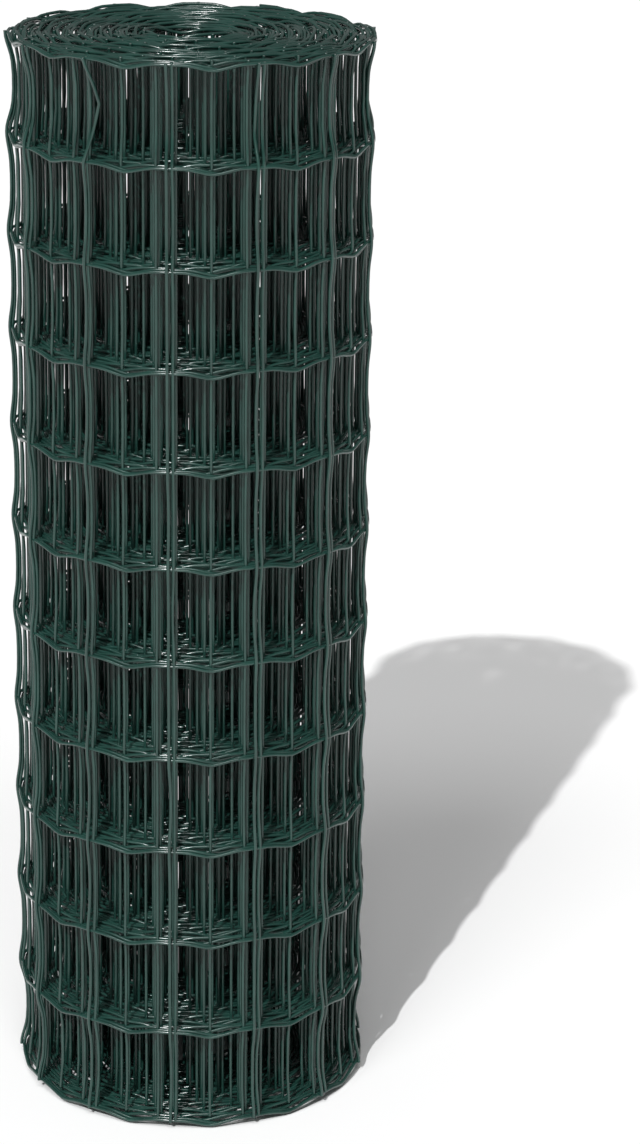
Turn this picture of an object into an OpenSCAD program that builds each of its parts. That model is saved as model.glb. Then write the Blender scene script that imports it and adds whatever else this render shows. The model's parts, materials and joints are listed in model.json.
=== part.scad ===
// Roll of welded wire fencing, standing on its end.
// The wound mesh is one turned solid with a bore. Its wall stands out at every
// line wire and bows in between them, and both ends show the turns as rings.

/* [Mesh] */
// Diameter of a wire over its coating
wire_d = 2.4; // [1.6:0.1:3]
// Number of line wires across the height of the fence
line_wires = 12; // [8:1:16]
// Spacing of the line wires
row_pitch = 72; // [50:1:100]
// Depth of the V that each line wire dips by in every cell
crimp = 4.8; // [2:0.1:8]
// Reach of the cut stay wires past the middle of the top line wire
stub = 2; // [1.5:0.5:10]

/* [Roll] */
// Diameter over the outer turn, at a line wire
roll_d = 272; // [240:1:320]
// Diameter of the bore inside the inner turn
bore_d = 60; // [40:1:80]
// Number of turns, which nest into each other
turns = 48; // [30:1:50]
// Gap that shows between two turns
turn_gap = 0.4; // [0.3:0.1:0.6]
// How far the stay wires bow in between two line wires
bow = 3; // [1:0.5:6]
// Depth of the gap between two turns that each end shows
gap_depth = 10; // [4:1:20]

/* [Hidden] */
$fn = 96;

// Wall points for each stay wire bow between two line wires
bow_steps = 8;

// The roll stands on the Vs of its lowest line wire
foot = crimp + wire_d / 2;
height = foot + (line_wires - 1) * row_pitch + stub;
roll_r = roll_d / 2;
bore_r = bore_d / 2;

// The turns share the way from the bore to the outside, and each shows as a ring
turn_pitch = (roll_r - bore_r + turn_gap) / turns;
ring_w = turn_pitch - turn_gap;

// Inner radius of a turn, counted from the bore
function turn_r(turn) = bore_r + turn * turn_pitch;

// Radius of the outer wall at a share of the way from one line wire to the next
function wall_r(share) = roll_r - bow * (1 - cos(360 * share)) / 2;

// The outer wall, from the bottom line wire up to the top one
wall = [
    for (step = [0 : (line_wires - 1) * bow_steps])
        let (share = step / bow_steps)
            [wall_r(share), foot + share * row_pitch]
];

// One end of the roll, from the outer turn in to the bore: a ring for each turn,
// with its rim at rim_z, and a groove down to gap_z between each two turns
function end_rings(rim_z, gap_z) = [
    for (turn = [turns - 1 : -1 : 0])
        each concat(
            turn < turns - 1 ? [[turn_r(turn) + ring_w, gap_z]] : [],
            [[turn_r(turn) + ring_w, rim_z], [turn_r(turn), rim_z]],
            turn > 0 ? [[turn_r(turn), gap_z]] : []
        )
];

function reversed(points) = [for (i = [len(points) - 1 : -1 : 0]) points[i]];

// The fence mesh, wound up
module mesh_roll() {
    color("#1d4038")
        rotate_extrude()
            polygon(concat(
                reversed(end_rings(0, gap_depth)),
                wall,
                end_rings(height, height - gap_depth)
            ));
}

mesh_roll();
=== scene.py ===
"""Roll of welded wire fencing: every wire of the wound mesh, over the turned solid of the frame."""
import json
import math

import bpy
import numpy as np
from mathutils import Matrix, Vector


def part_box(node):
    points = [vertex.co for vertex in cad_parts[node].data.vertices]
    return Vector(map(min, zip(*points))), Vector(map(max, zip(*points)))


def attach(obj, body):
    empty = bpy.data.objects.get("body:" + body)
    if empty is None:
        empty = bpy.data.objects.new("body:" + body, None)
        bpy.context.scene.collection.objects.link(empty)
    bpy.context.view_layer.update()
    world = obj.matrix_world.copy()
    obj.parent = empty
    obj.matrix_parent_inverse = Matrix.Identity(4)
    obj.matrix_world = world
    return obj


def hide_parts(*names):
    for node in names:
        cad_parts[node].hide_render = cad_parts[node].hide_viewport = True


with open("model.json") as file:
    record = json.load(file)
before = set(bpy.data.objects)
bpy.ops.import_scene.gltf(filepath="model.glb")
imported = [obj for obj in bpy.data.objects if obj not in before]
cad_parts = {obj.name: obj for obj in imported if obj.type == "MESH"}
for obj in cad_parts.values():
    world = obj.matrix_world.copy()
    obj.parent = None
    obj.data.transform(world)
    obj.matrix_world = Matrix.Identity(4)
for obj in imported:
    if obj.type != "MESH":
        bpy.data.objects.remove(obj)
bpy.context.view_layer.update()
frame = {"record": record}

MM = 0.001
TAU = 2 * math.pi
NODE = "mesh_roll"
BODY = "root"

# Sizes of the roll, from the frame
node_low, node_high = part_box(NODE)
ROLL_R = node_high[0]
ROLL_H = node_high[2] - node_low[2]
bore_mount = next(mount for mount in frame["record"]["mounts"] if mount["name"] == "bore")
BORE_R = bore_mount["dims"]["r_mm"] * MM

# The mesh
WIRE_R = 1.2 * MM          # over the coating
CORE_R = 0.9 * MM          # bare steel that a cut end shows
WELD_GAP = 2.1 * MM        # between the middles of a line wire and a stay wire at a weld
ROWS = 12                  # line wires
STUB = 0.6 * MM            # reach of the stay wires past the middle of the edge line wires
CELL = 63 * MM             # spacing of the stay wires along the mesh
CRIMP = 4.8 * MM           # depth of the V that each line wire dips by in every cell
CRIMP_REACH = 0.29         # half the length of that V, as a share of the cell
CRIMP_SOFTNESS = 0.17      # rounding of its three corners
FOOT = CRIMP + WIRE_R      # height of the lowest line wire, which stands on its Vs
RISE = 2.6 * MM            # how far a turn stands higher or lower than the mean one, at most
STAND = 1.75 * MM          # how far the mean turn stands up, so that the lowest Vs touch the floor
ROW_PITCH = (ROLL_H - FOOT - STUB - RISE / 2) / (ROWS - 1)    # takes the mean turn about up to the top

# The winding, counted as an angle from the inner end
TURNS = 47.94
WIND_END = TAU * TURNS
SAMPLES_IN_TURN = 200      # for working out the length of the mesh
WIND_START_R = BORE_R + WIRE_R
WIND_END_R = ROLL_R - WIRE_R - WELD_GAP
FRONT_STAY = -7                     # counted from the outer end, the stay wire nearest the camera
FRONT_AZIMUTH = math.radians(-7)    # where it lies, from the camera's side towards +X
OUTER_FLAT = 0.8 * MM      # how far the line wires of the outer turn lie in from round, between two welds
FLAT_FADE = 0.6            # winding angle over which they come to that
TAIL = 3 * MM              # reach of the line wires past the last stay wire
CORE_TILT = 2 * MM         # how far the turns at the bore stand higher in front and lower behind, at the top
CORE_SHARE = 0.5           # share of the winding over which that fades

# How the stay wires bow in between the line wires, for each cell from the bottom
BOWS = np.array([5.2, 3.0, 2.6, 2.8, 2.4, 2.8, 2.6, 2.4, 2.6, 2.8, 5.6]) * MM
BOW_SPREAD = 0.08          # share by which that differs from wire to wire
INNER_BOW = 0.25           # share of it inside the outer turns
OUTER_TURNS = 5            # over which it grows to the whole
KNOB = 15 * MM             # reach of the bulge that a stay wire makes at a line wire
INNER_LOOSE = 0.06 * MM    # how freely a stay wire strays sideways, inside
OUTER_LOOSE = 0.4 * MM     # and on the outer turns
LEAN_LOOSE = 2             # how many times as freely it leans from end to end

# Stay wires of the outer turn that were knocked in the top cell: (count from the outer end,
# place in the cell, sideways and inward)
KNOCKS = [(-8, 0.57, 9 * MM, 1 * MM), (-6, 0.3, -0.5 * MM, 4 * MM)]

# Unevenness along the winding, as [(waves in a turn, size)]
WOBBLE_WAVES = [(1.013, 0.7 * MM), (2.021, 0.5 * MM), (3.04, 0.25 * MM), (0.31, 0.3 * MM), (4.6, 0.2 * MM)]
RISE_WAVES = [(0.27, 0.45 * RISE), (1.37, 0.35 * RISE), (2.3, 0.2 * RISE)]
LEAN_WAVES = [(1, 0.25 * MM), (2, 0.2 * MM), (3, 0.15 * MM)]
BOW_WAVES = [(1, 0.1), (2.1, 0.08), (0.37, 0.08)]
ROW_WAVES = [(1.9, 0.25 * MM), (3.3, 0.2 * MM)]
WINDING_SEED = 710034      # one that lets little light through on the photograph's side
SHAPE_SEED = 11

# How finely the wires are made: the sides of a wire, and its points along a cell as shares of the cell
LINE_SIDES = 8
LINE_STEPS = np.array([0, 0.18, 0.27, 0.42, 0.5, 0.58, 0.73, 0.82])
OUTER_SIDES = 10
OUTER_STEPS = np.array([0, 0.05, 0.1, 0.16, 0.23, 0.3, 0.43, 0.57, 0.7, 0.77, 0.84, 0.9, 0.95])
INNER_SIDES = 6
INNER_STEPS = np.array([0, 0.12, 0.3, 0.7, 0.88])
OUTER_STAYS = 27           # stay wires, counted from the outer end, that are made the finest

# The coating and a cut end. A grain is the (scale, detail) of a noise texture
COATING_DARK = (0.008, 0.034, 0.027, 1)
COATING_LIGHT = (0.014, 0.054, 0.043, 1)
MOTTLE_GRAIN = (60, 4)
MOTTLE_STOPS = (0.3, 0.7)            # where in the noise it is all dark and all light
COATING_ROUGHNESS = (0.14, 0.3)      # of the glossiest and the dullest spots
GLOSS_GRAIN = (240, 3)
COATING_SPECULAR = 0.65
DIP_GRAIN = (700, 2)                 # the fine unevenness of the dipped coating
DIP_STRENGTH = 0.3
DIP_DEPTH = 0.15 * MM
STEEL_DARK = (0.30, 0.30, 0.30, 1)
STEEL_LIGHT = (0.62, 0.63, 0.64, 1)
STEEL_ROUGHNESS = 0.35
SHEAR_GRAIN = (1500, 2)              # the marks of the shears
SHEAR_STOPS = (0.35, 0.65)

# The photograph's camera, which looks at the roll's axis and is then turned to the right by the pan
IMAGE_H = 1144                       # pixels
SENSOR = 36.0                        # mm
CAMERA_DISTANCE = 2.6
CAMERA_ELEVATION = math.radians(17.8)
CAMERA_PAN = math.radians(2.13)
CAMERA_AIM_Z = 0.3953
FOCAL_PX = 3465                      # focal length, in pixels of the photograph

# The light: (name, azimuth from the camera's side towards +X, elevation and width in degrees, strength)
LAMPS = [
    ("key", -20, 40.5, 0.8, 2.6),
    ("softbox_left", -27, 55, 17, 0.68),
    ("softbox_right", 6, 55, 19, 0.68),
]
WORLD_LIGHT = 0.2
FLOOR_COLOUR = (0.95, 0.95, 0.95, 1)
FLOOR_ROUGHNESS = 0.9
FLOOR_SIZE = 40
FLOOR_Z = -0.2 * MM

rng = np.random.default_rng(SHAPE_SEED)


def waves(bands, source):
    """A smooth seeded wander along the winding."""
    phases = source.uniform(0, TAU, len(bands))

    def value(wind):
        return sum(size * np.sin(rate * wind + phase) for (rate, size), phase in zip(bands, phases))

    return value


wobble = waves(WOBBLE_WAVES, np.random.default_rng(WINDING_SEED))
rise = waves(RISE_WAVES, rng)
lean = waves(LEAN_WAVES, rng)
bow_change = waves(BOW_WAVES, rng)
row_wander = [waves(ROW_WAVES, rng) for _ in range(ROWS)]


def weld_radius(wind):
    """Radius of the line wires at their welds."""
    return WIND_START_R + (WIND_END_R - WIND_START_R) * wind / WIND_END + wobble(wind)


def stay_winds():
    """The winding angle of every stay wire: one at the outer end, and one for each cell further in."""
    wind = np.linspace(0, WIND_END, int(TURNS * SAMPLES_IN_TURN))
    radius = weld_radius(wind)
    length = np.concatenate([[0], np.cumsum((radius[1:] + radius[:-1]) / 2 * np.diff(wind))])
    places = np.arange(length[-1], 0, -CELL)[::-1]
    return np.interp(places, length, wind)


STAYS = stay_winds()


def azimuth(wind):
    """Where a winding angle lies, from the camera's side towards +X."""
    return FRONT_AZIMUTH + wind - STAYS[FRONT_STAY]


def place(wind, radius, z, shift):
    """Points at a winding angle, radius and height, moved sideways along the turn by shift."""
    angle = azimuth(wind) + shift / radius
    return np.stack([radius * np.sin(angle), -radius * np.cos(angle), z], -1)


def lift(wind, up_share):
    """How far a turn stands up, at a share of the height of the mesh."""
    at_core = np.clip(1 - wind / (WIND_END * CORE_SHARE), 0, 1)
    return STAND + rise(wind) + CORE_TILT * at_core * np.cos(azimuth(wind)) * up_share


def from_middle(z):
    """A height as a share of the way from the middle: -1 at the bottom of the roll and 1 at its top."""
    return 2 * z / ROLL_H - 1


def lean_at(wind, z):
    """How far the mesh leans sideways at a height."""
    return lean(wind) * from_middle(z)


def crimp_drop(share):
    """The V of a line wire, 1 at mid-cell, with straight legs and rounded corners."""
    leg = 1 - np.sqrt((np.abs(share - 0.5) / CRIMP_REACH) ** 2 + CRIMP_SOFTNESS ** 2)
    return (leg + np.sqrt(leg ** 2 + CRIMP_SOFTNESS ** 2)) / 2


def line_wire_path(row):
    """One line wire from the inner end to the outer one."""
    wind = (STAYS[:-1, None] + np.diff(STAYS)[:, None] * LINE_STEPS).ravel()
    share = np.tile(LINE_STEPS, len(STAYS) - 1)
    inner_end = STAYS[0] - TAIL / WIND_START_R
    outer_end = STAYS[-1] + TAIL / WIND_END_R
    wind = np.concatenate([[inner_end], wind, [STAYS[-1], outer_end]])
    share = np.concatenate([[0], share, [0, 0]])
    uncovered = np.clip((wind - (WIND_END - TAU)) / FLAT_FADE, 0, 1)
    radius = weld_radius(wind) - OUTER_FLAT * uncovered * np.sin(math.pi * share) ** 2
    wander = row_wander[row](wind) if row else 0
    z = FOOT + row * ROW_PITCH + lift(wind, row / (ROWS - 1)) + wander - CRIMP * crimp_drop(share)
    return place(wind, radius, z, lean_at(wind, z))


def stay_wire_path(index, steps, loose):
    """One stay wire, from its lower cut end to its upper one. loose is how freely it strays sideways."""
    wind = STAYS[index]
    share = np.concatenate([np.tile(steps, ROWS - 1), [0]])
    row_below = np.repeat(np.arange(ROWS), len(steps))[:len(share)]
    cell = np.minimum(row_below, ROWS - 2)
    height = (row_below + share) * ROW_PITCH
    from_row = np.minimum(share, 1 - share) * ROW_PITCH
    outward = np.clip(1 - (WIND_END - wind) / (TAU * OUTER_TURNS), 0, 1)
    outward = INNER_BOW + (1 - INNER_BOW) * outward
    own_bow = rng.uniform(1 - BOW_SPREAD, 1 + BOW_SPREAD, ROWS - 1)
    bow = BOWS * outward * (1 + bow_change(wind)) * own_bow
    inward = bow[cell] * (1 - np.exp(-(from_row / KNOB) ** 2))
    sideways = rng.normal(0, loose, ROWS - 1)[cell] * np.sin(math.pi * share) ** 2
    own_lean = rng.normal(0, LEAN_LOOSE * loose)
    for knocked, at, aside, dent in KNOCKS:
        if index == len(STAYS) + knocked:
            peak = np.where(share < at, share / at, (1 - share) / (1 - at)) * (cell == ROWS - 2) * (share > 0)
            inward = inward + dent * peak
            sideways = sideways + aside * peak
    height = np.concatenate([[-STUB], height, [height[-1] + STUB]])
    z = FOOT + height + lift(wind, height / ROLL_H)
    inward = np.concatenate([[0], inward, [0]])
    sideways = np.concatenate([[0], sideways, [0]]) + own_lean * from_middle(z)
    return place(wind, weld_radius(wind) + WELD_GAP - inward, z, sideways + lean_at(wind, z))


def wire_rings(path, sides):
    """Rings of points round a path, between two smaller rings of the bare core."""
    outward = path * [1, 1, 0]
    outward /= np.linalg.norm(outward, axis=1, keepdims=True)
    ahead = np.gradient(path, axis=0)
    ahead /= np.linalg.norm(ahead, axis=1, keepdims=True)
    across = np.cross(ahead, outward)
    across /= np.linalg.norm(across, axis=1, keepdims=True)
    out = np.cross(across, ahead)
    turn = np.arange(sides) / sides * TAU
    ring = np.cos(turn)[:, None] * out[:, None] + np.sin(turn)[:, None] * across[:, None]
    first_core = path[:1, None] + CORE_R * ring[:1]
    last_core = path[-1:, None] + CORE_R * ring[-1:]
    return np.concatenate([first_core, path[:, None] + WIRE_R * ring, last_core])


def wires_object(name, paths, sides, materials):
    """One mesh of many wires, each a closed tube that shows its bare core at both ends."""
    points, quads, caps = [], [], []
    around = np.arange(sides)
    first = 0
    for path in paths:
        rings = wire_rings(path, sides)
        starts = first + np.arange(len(rings) - 1)[:, None] * sides
        here = starts + around
        beside = starts + np.roll(around, -1)
        quads.append(np.stack([here, here + sides, beside + sides, beside], -1).reshape(-1, 4))
        caps += [first + around, first + (len(rings) - 1) * sides + around[::-1]]
        points.append(rings.reshape(-1, 3))
        first += len(rings) * sides
    points, quads, caps = np.concatenate(points), np.concatenate(quads), np.array(caps)
    corners = np.concatenate([quads.ravel(), caps.ravel()])
    loop_starts = np.concatenate([np.arange(len(quads)) * 4, quads.size + np.arange(len(caps)) * sides])
    slots = np.repeat([0, 1], [len(quads), len(caps)])
    mesh = bpy.data.meshes.new(name)
    mesh.vertices.add(len(points))
    mesh.vertices.foreach_set("co", points.ravel())
    mesh.loops.add(len(corners))
    mesh.loops.foreach_set("vertex_index", corners.astype(np.int32))
    mesh.polygons.add(len(slots))
    mesh.polygons.foreach_set("loop_start", loop_starts.astype(np.int32))
    mesh.polygons.foreach_set("material_index", slots.astype(np.int32))
    mesh.polygons.foreach_set("use_smooth", slots == 0)
    mesh.update(calc_edges=True)
    mesh.validate()
    for material in materials:
        mesh.materials.append(material)
    piece = bpy.data.objects.new(name, mesh)
    bpy.context.scene.collection.objects.link(piece)
    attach(piece, BODY)
    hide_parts(NODE)


def noise(nodes, links, where, grain):
    """A noise texture laid out in the object's own space."""
    texture = nodes.new("ShaderNodeTexNoise")
    texture.inputs["Scale"].default_value, texture.inputs["Detail"].default_value = grain
    links.new(where.outputs["Object"], texture.inputs["Vector"])
    return texture.outputs["Fac"]


def ramp(nodes, links, value, stops, dark, light):
    """A colour that runs from dark to light between two values of a texture."""
    colour = nodes.new("ShaderNodeValToRGB")
    first, last = colour.color_ramp.elements
    first.position, last.position = stops
    first.color, last.color = dark, light
    links.new(value, colour.inputs["Fac"])
    return colour.outputs["Color"]


def new_material(name):
    """A material with its nodes, links, shader and texture coordinates."""
    material = bpy.data.materials.new(name)
    material.use_nodes = True
    nodes, links = material.node_tree.nodes, material.node_tree.links
    return material, nodes, links, nodes["Principled BSDF"], nodes.new("ShaderNodeTexCoord")


def coating_material():
    """Green plastic coating: satin, with a faint mottle and the fine unevenness of a dipped wire."""
    material, nodes, links, shader, where = new_material("green_coating")
    mottle = noise(nodes, links, where, MOTTLE_GRAIN)
    green = ramp(nodes, links, mottle, MOTTLE_STOPS, COATING_DARK, COATING_LIGHT)
    links.new(green, shader.inputs["Base Color"])
    gloss = nodes.new("ShaderNodeMapRange")
    gloss.inputs["To Min"].default_value, gloss.inputs["To Max"].default_value = COATING_ROUGHNESS
    links.new(noise(nodes, links, where, GLOSS_GRAIN), gloss.inputs["Value"])
    links.new(gloss.outputs["Result"], shader.inputs["Roughness"])
    shader.inputs["Specular IOR Level"].default_value = COATING_SPECULAR
    bump = nodes.new("ShaderNodeBump")
    bump.inputs["Strength"].default_value = DIP_STRENGTH
    bump.inputs["Distance"].default_value = DIP_DEPTH
    links.new(noise(nodes, links, where, DIP_GRAIN), bump.inputs["Height"])
    links.new(bump.outputs["Normal"], shader.inputs["Normal"])
    return material


def steel_material():
    """Bare steel of a cut wire end, with the marks of the shears."""
    material, nodes, links, shader, where = new_material("cut_steel")
    marks = noise(nodes, links, where, SHEAR_GRAIN)
    grey = ramp(nodes, links, marks, SHEAR_STOPS, STEEL_DARK, STEEL_LIGHT)
    links.new(grey, shader.inputs["Base Color"])
    shader.inputs["Metallic"].default_value = 1
    shader.inputs["Roughness"].default_value = STEEL_ROUGHNESS
    return material


def build_roll():
    """All stay wires in three pieces, and each line wire in its own."""
    materials = [coating_material(), steel_material()]
    outer = len(STAYS) - OUTER_STAYS
    middle = outer // 2
    inner_paths = [stay_wire_path(index, INNER_STEPS, INNER_LOOSE) for index in range(outer)]
    outer_paths = [stay_wire_path(index, OUTER_STEPS, OUTER_LOOSE) for index in range(outer, len(STAYS))]
    wires_object("stay_wires_inner", inner_paths[:middle], INNER_SIDES, materials)
    wires_object("stay_wires_middle", inner_paths[middle:], INNER_SIDES, materials)
    wires_object("stay_wires_outer", outer_paths, OUTER_SIDES, materials)
    for row in range(ROWS):
        wires_object(f"line_wire_{row + 1:02d}", [line_wire_path(row)], LINE_SIDES, materials)


def build_floor():
    """The pale floor that takes the shadow."""
    bpy.ops.mesh.primitive_plane_add(size=FLOOR_SIZE, location=(0, 0, FLOOR_Z))
    floor = bpy.context.object
    floor.name = "floor"
    material = bpy.data.materials.new("pale_floor")
    material.use_nodes = True
    shader = material.node_tree.nodes["Principled BSDF"]
    shader.inputs["Base Color"].default_value = FLOOR_COLOUR
    shader.inputs["Roughness"].default_value = FLOOR_ROUGHNESS
    shader.inputs["Specular IOR Level"].default_value = 0
    floor.data.materials.append(material)


def build_light():
    """An even world, a small key lamp for the crisp shadow and two wide ones for the sheen."""
    scene = bpy.context.scene
    world = bpy.data.worlds.new("studio")
    scene.world = world
    world.use_nodes = True
    background = world.node_tree.nodes["Background"]
    background.inputs["Color"].default_value = (1, 1, 1, 1)
    background.inputs["Strength"].default_value = WORLD_LIGHT
    for name, around, up, width, strength in LAMPS:
        light = bpy.data.lights.new(name, "SUN")
        light.energy = strength
        light.angle = math.radians(width)
        lamp = bpy.data.objects.new(name, light)
        around, up = math.radians(around), math.radians(up)
        towards = Vector((math.sin(around) * math.cos(up), -math.cos(around) * math.cos(up), math.sin(up)))
        lamp.rotation_euler = towards.to_track_quat("Z", "Y").to_euler()
        scene.collection.objects.link(lamp)


def build_camera():
    """The photograph's view, from the -Y side."""
    scene = bpy.context.scene
    lens = bpy.data.cameras.new("photo_view")
    lens.sensor_width = SENSOR
    lens.lens = FOCAL_PX * SENSOR / IMAGE_H
    camera = bpy.data.objects.new("photo_view", lens)
    aim = Vector((0, 0, CAMERA_AIM_Z))
    back = Vector((0, -math.cos(CAMERA_ELEVATION), math.sin(CAMERA_ELEVATION)))
    look = (-back).to_track_quat("-Z", "Y").to_matrix()
    pan = Matrix.Rotation(-CAMERA_PAN, 3, "Y")
    camera.matrix_world = Matrix.Translation(aim + back * CAMERA_DISTANCE) @ (look @ pan).to_4x4()
    scene.collection.objects.link(camera)
    scene.camera = camera


build_camera()
build_roll()
build_floor()
build_light()
bpy.context.scene.view_settings.view_transform = "Standard"
